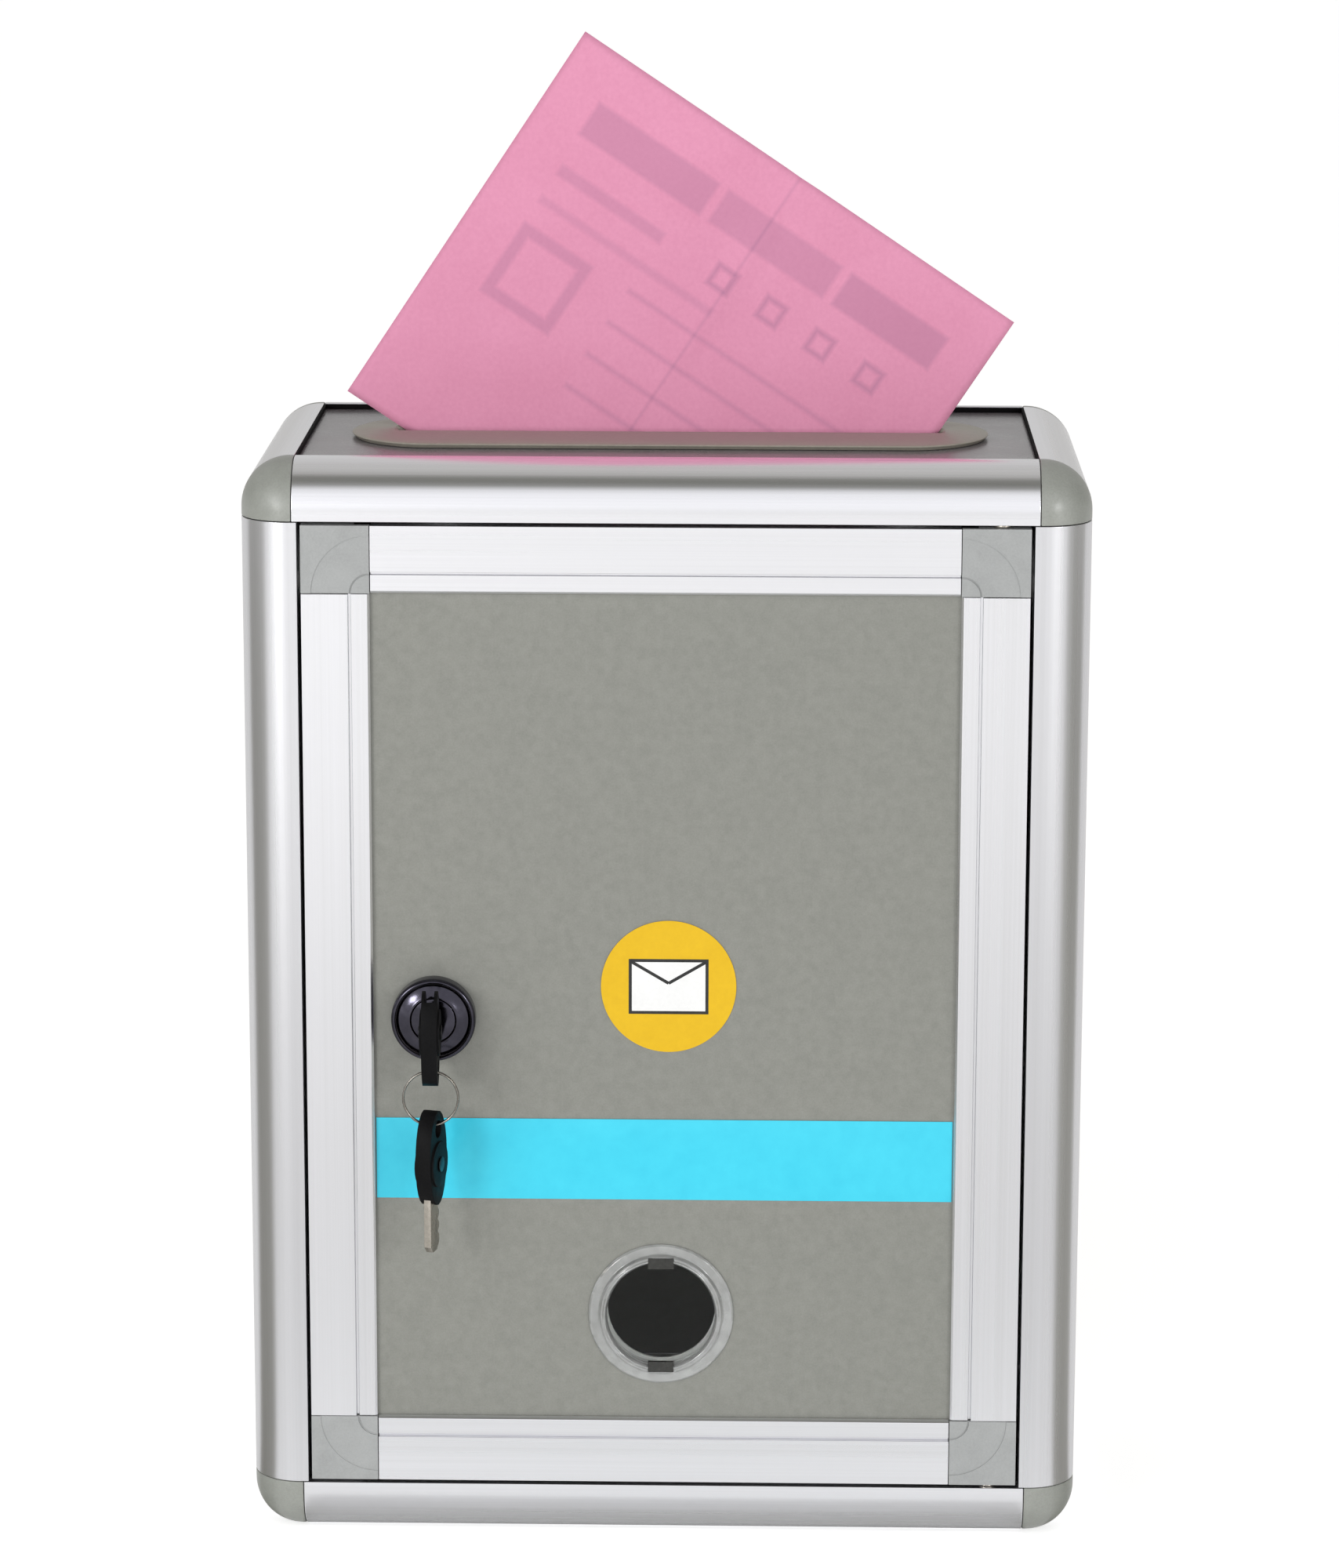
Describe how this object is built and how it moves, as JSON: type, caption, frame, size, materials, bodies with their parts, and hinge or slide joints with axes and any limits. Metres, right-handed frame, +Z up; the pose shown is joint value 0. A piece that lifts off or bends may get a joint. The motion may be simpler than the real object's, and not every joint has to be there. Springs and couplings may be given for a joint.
{
  "type": "suggestion box",
  "caption": "Aluminium-framed box with grey panels, a hinged front door with a cam lock and folding keys, a round clear window and a posting slot holding a slip.",
  "frame": {"origin": "centre of the case's footprint, on the plane that it stands on", "axes": "+Z up through the posting slot, +Y towards the wall side, so the door faces -Y and its hinge is at +X"},
  "size_m": [0.24, 0.1528, 0.4315],
  "materials": {
    "satin_aluminium": "satin",
    "grey_moulding": "satin",
    "grey_panel": "pearl",
    "slot_trim": "semi-gloss",
    "steel": "plated",
    "dark_chrome": "polished",
    "black_plastic": "satin",
    "clear_plastic": "clear",
    "blue_film": "printed film",
    "yellow_film": "printed film",
    "pink_paper": "matte"
  },
  "bodies": {
    "case": {"front_top_rail": "satin_aluminium", "front_bottom_rail": "satin_aluminium", "front_left_rail": "satin_aluminium", "front_right_rail": "satin_aluminium", "back_top_rail": "satin_aluminium", "back_bottom_rail": "satin_aluminium", "back_left_rail": "satin_aluminium", "back_right_rail": "satin_aluminium", "top_left_rail": "satin_aluminium", "top_right_rail": "satin_aluminium", "bottom_left_rail": "satin_aluminium", "bottom_right_rail": "satin_aluminium", "corner_front_top_left": "grey_moulding", "corner_front_top_right": "grey_moulding", "corner_front_bottom_left": "grey_moulding", "corner_front_bottom_right": "grey_moulding", "corner_back_top_left": "grey_moulding", "corner_back_top_right": "grey_moulding", "corner_back_bottom_left": "grey_moulding", "corner_back_bottom_right": "grey_moulding", "top_panel": "grey_panel", "bottom_panel": "grey_panel", "left_panel": "grey_panel", "right_panel": "grey_panel", "back_panel": "grey_panel", "slot_rim": "slot_trim", "door_stop_top": "black_plastic", "door_stop_bottom": "black_plastic"},
    "door": {"door_top_member": "satin_aluminium", "door_bottom_member": "satin_aluminium", "door_left_member": "satin_aluminium", "door_right_member": "satin_aluminium", "door_corner_top_left": "grey_moulding", "door_corner_top_right": "grey_moulding", "door_corner_bottom_left": "grey_moulding", "door_corner_bottom_right": "grey_moulding", "door_panel": "grey_panel", "round_label": "yellow_film", "blue_band": "blue_film", "window_bezel": "clear_plastic", "window_pane": "clear_plastic", "window_retainer": "slot_trim", "lock_body": "dark_chrome", "lock_nut": "steel", "hinge_pin_top": "steel", "hinge_pin_bottom": "steel", "hinge_washer_top": "steel", "hinge_washer_bottom": "steel"},
    "plug": {"lock_plug": "steel", "lock_cam": "steel", "cam_screw": "steel"},
    "key": {"key_blade": "steel", "key_rivet": "steel"},
    "head": {"key_head": "black_plastic"},
    "ring": {"key_ring": "steel"},
    "spare_key": {"spare_key_blade": "steel", "spare_key_head": "black_plastic", "spare_key_rivet": "steel"},
    "slip": {"suggestion_slip": "pink_paper"}
  },
  "joints": [
    {"name": "door_hinge", "type": "hinge", "parent": "case", "child": "door", "pos_m": [0.0944, -0.061, 0], "axis": [0, 0, 1], "range_deg": [0, 110]},
    {"name": "lock_turn", "type": "hinge", "parent": "door", "child": "plug", "pos_m": [-0.0659, -0.0625, 0.1568], "axis": [0, 1, 0], "range_deg": [0, 90]},
    {"name": "key_withdraw", "type": "slide", "parent": "plug", "child": "key", "axis": [0, -1, 0], "range_m": [0, 0.02]},
    {"name": "key_fold", "type": "hinge", "parent": "key", "child": "head", "pos_m": [-0.0659, -0.08, 0.1568], "axis": [-1, 0, 0], "range_deg": [0, 90]},
    {"name": "ring_swing", "type": "hinge", "parent": "head", "child": "ring", "pos_m": [-0.0659, -0.08, 0.1453], "axis": [-1, 0, 0], "range_deg": [-3, 75]},
    {"name": "spare_key_swing", "type": "hinge", "parent": "ring", "child": "spare_key", "pos_m": [-0.0659, -0.08, 0.1297], "axis": [-1, 0, 0], "range_deg": [-2, 40]},
    {"name": "slip_lift", "type": "slide", "parent": "case", "child": "slip", "axis": [0, 0, 1], "range_m": [0, 0.08]}
  ]
}
